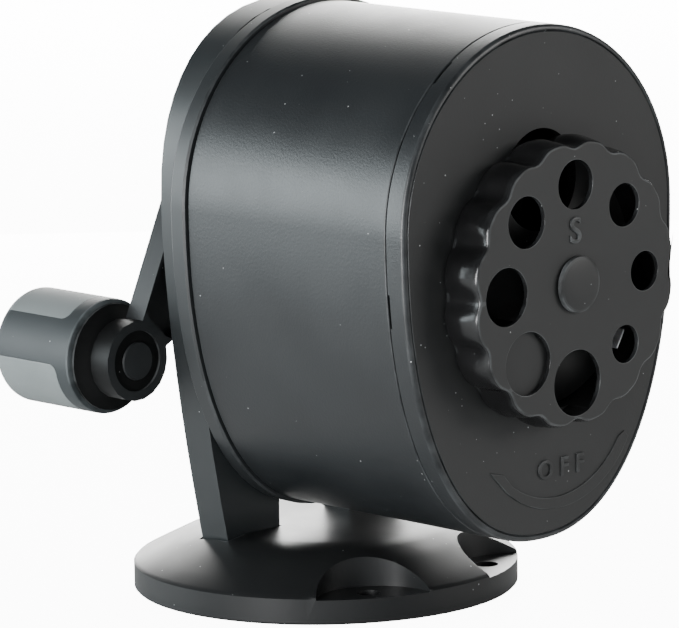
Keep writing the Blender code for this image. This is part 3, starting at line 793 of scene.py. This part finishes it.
def leaf_piece():
    """Bright bent leaf that clicks the dial into place, seen through one of its holes."""
    low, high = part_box("detent_spring")
    front, back = low[1] + 0.1 * MM, high[1]
    x0, x1, z0, z1 = low[0], high[0], low[2], high[2]
    thick = 0.35 * MM
    bend = [(x0, z0 + 1.2 * MM), (x1 - 3.2 * MM, z0 + 2.9 * MM), (x1 - 1.9 * MM, z0 + 0.6 * MM),
            (x1 - 0.1 * MM, z1 - 0.1 * MM)]
    edge = [(x - 0.25 * thick, z + thick) for x, z in reversed(bend)]
    leaf = extrude(outline("detent_leaf", bend + edge, front), back - front)
    bevel_all(leaf, 0.06 * MM, 1, 30)
    return finish_piece(leaf, "receptacle", LEAF, "detent_spring", slot="steel")


# ---------------------------------------------------------------- build the visible model

drum_piece()
cap_piece()
arrow_piece()
root = 0.05 * MM
lettering("off_mark", "OFF", 4.6 * MM, 4.3 * MM, 27.4 * MM, cap_front() - root, "receptacle",
          FACE, "matte_black", 1.75)
lettering("size_mark", "S", 6.3 * MM, -0.3 * MM, DIAL_Z + 9.0 * MM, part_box("dial")[0][1] - root,
          "selector", DIAL_MAT, "gloss_black")
dial_piece()
button_piece()
leaf_piece()
knob_pieces()
smoothed_node("collar", "collar_plate", "frame", COLLAR, 0.2 * MM, "black_plastic")
smoothed_node("stand", "stand_arch", "frame", STAND, 0.45 * MM, "slate_plastic")
smoothed_node("base", "round_foot", "frame", FOOT, 0.3 * MM, "black_plastic", 50)
lever = smoothed_node("crank_arm", "crank_lever", "crank", ARM, 0.4 * MM, "black_plastic")
# Painted shade: the lever's faces near the knob's axis get the darker black
paint(lever, NECK_SHADE,
      lambda f: math.hypot(f.center.x - KNOB_X, f.center.z - KNOB_Z) < NECK_REACH)

# The mechanism keeps its CAD shapes and gets its finishes here
NODE_MATERIALS = (
    (STEEL, ("ring_gear", "lock_ring", "cutter_pin_1", "cutter_pin_2", "crank_screw",
             "dial_clip", "leg_screw_1", "leg_screw_2", "collar_screw_1", "collar_screw_2",
             "collar_screw_3")),
    (CUTTER_STEEL, ("cutter_1", "cutter_2")),
    (ZINC, ("cutter_carrier",)),
    (BRASS, ("shaft_bushing",)),
    (ARM, ("handle_spindle",)))
for mat, nodes in NODE_MATERIALS:
    for node in nodes:
        NODES[node].data.materials.clear()
        NODES[node].data.materials.append(mat)


# ---------------------------------------------------------------- camera, floor and light

CAMERA_AT = Vector((-0.6878, -0.7042, 0.2269))
CAMERA_AIM = Vector((-0.0111, -0.0158, 0.0518))
CAMERA_ROLL = -0.94
LIGHT_AIM = Vector((0, -0.02, 0.06))
BACKDROP = 11.0
FILL = 0.15

# Name, azimuth from the front, elevation, distance, width, height, power, colour
LIGHTS = (("back_left_box", -142, 5, 0.9, 0.9, 0.42, 12, (0.88, 0.97, 1.0)),
          ("edge_strip", -82, 0, 0.32, 0.08, 0.11, 0.6, (1.0, 1.0, 1.0)),
          ("low_card", -45, -2, 0.36, 0.2, 0.08, 0.18, (0.92, 0.97, 1.0)),
          ("back_right_box", 137, 15, 0.9, 0.7, 0.5, 13, (1.0, 1.0, 0.98)),
          ("rim_card", 137, 0, 0.4, 0.35, 0.2, 0.9, (1.0, 1.0, 1.0)),
          ("front_left_box", -76, 8, 1.2, 0.35, 0.5, 9, (0.96, 0.98, 1.0)),
          ("front_right_box", 38, 16, 1.2, 0.6, 0.5, 6.2, (1.0, 0.99, 0.97)))


def camera():
    data = bpy.data.cameras.new("camera")
    data.lens = 300
    data.sensor_width = 36
    data.clip_start = 0.01
    obj = bpy.data.objects.new("camera", data)
    bpy.context.collection.objects.link(obj)
    obj.location = CAMERA_AT
    away = obj.location - CAMERA_AIM
    roll = Matrix.Rotation(math.radians(CAMERA_ROLL), 3, 'Z')
    obj.rotation_euler = (away.to_track_quat('Z', 'Y').to_matrix() @ roll).to_euler()
    bpy.context.scene.camera = obj


def softbox(name, azimuth, elevation, distance, width, height, power, colour):
    data = bpy.data.lights.new(name, 'AREA')
    data.shape = 'RECTANGLE'
    data.size = width
    data.size_y = height
    data.energy = power
    data.color = colour
    obj = bpy.data.objects.new(name, data)
    bpy.context.collection.objects.link(obj)
    a, e = math.radians(azimuth), math.radians(elevation)
    away = Vector((math.sin(a) * math.cos(e), -math.cos(a) * math.cos(e), math.sin(e)))
    obj.location = LIGHT_AIM + away * distance
    obj.rotation_euler = away.to_track_quat('Z', 'Y').to_euler()
    obj.visible_camera = False


def floor():
    """A pale floor whose glow only the camera sees, so it stays pale without lighting."""
    deselect()
    bpy.ops.mesh.primitive_plane_add(size=12)
    plane = bpy.context.object
    plane.name = "floor"
    mat = bpy.data.materials.new("Pale floor")
    mat.use_nodes = True
    tree = mat.node_tree
    shader = tree.nodes["Principled BSDF"]
    shader.inputs["Base Color"].default_value = (0.75, 0.75, 0.75, 1)
    shader.inputs["Roughness"].default_value = 0.9
    shader.inputs["Emission Color"].default_value = (1, 1, 1, 1)
    path = tree.nodes.new('ShaderNodeLightPath')
    glow = math_node(tree, 'MULTIPLY', path.outputs["Is Camera Ray"], BACKDROP)
    tree.links.new(glow, shader.inputs["Emission Strength"])
    plane.data.materials.append(mat)


def background(tree, colour, strength):
    node = tree.nodes.new('ShaderNodeBackground')
    node.inputs["Color"].default_value = (*colour, 1)
    node.inputs["Strength"].default_value = strength
    return node.outputs[0]


def room():
    """A white surround for the camera, and a weak cool fill for everything else."""
    world = bpy.data.worlds.new("studio")
    bpy.context.scene.world = world
    world.use_nodes = True
    tree = world.node_tree
    tree.nodes.clear()
    path = tree.nodes.new('ShaderNodeLightPath')
    mix = tree.nodes.new('ShaderNodeMixShader')
    out = tree.nodes.new('ShaderNodeOutputWorld')
    tree.links.new(path.outputs["Is Camera Ray"], mix.inputs[0])
    tree.links.new(background(tree, (0.9, 0.95, 1.0), FILL), mix.inputs[1])
    tree.links.new(background(tree, (1, 1, 1), BACKDROP), mix.inputs[2])
    tree.links.new(mix.outputs[0], out.inputs["Surface"])


camera()
floor()
room()
for light in LIGHTS:
    softbox(*light)
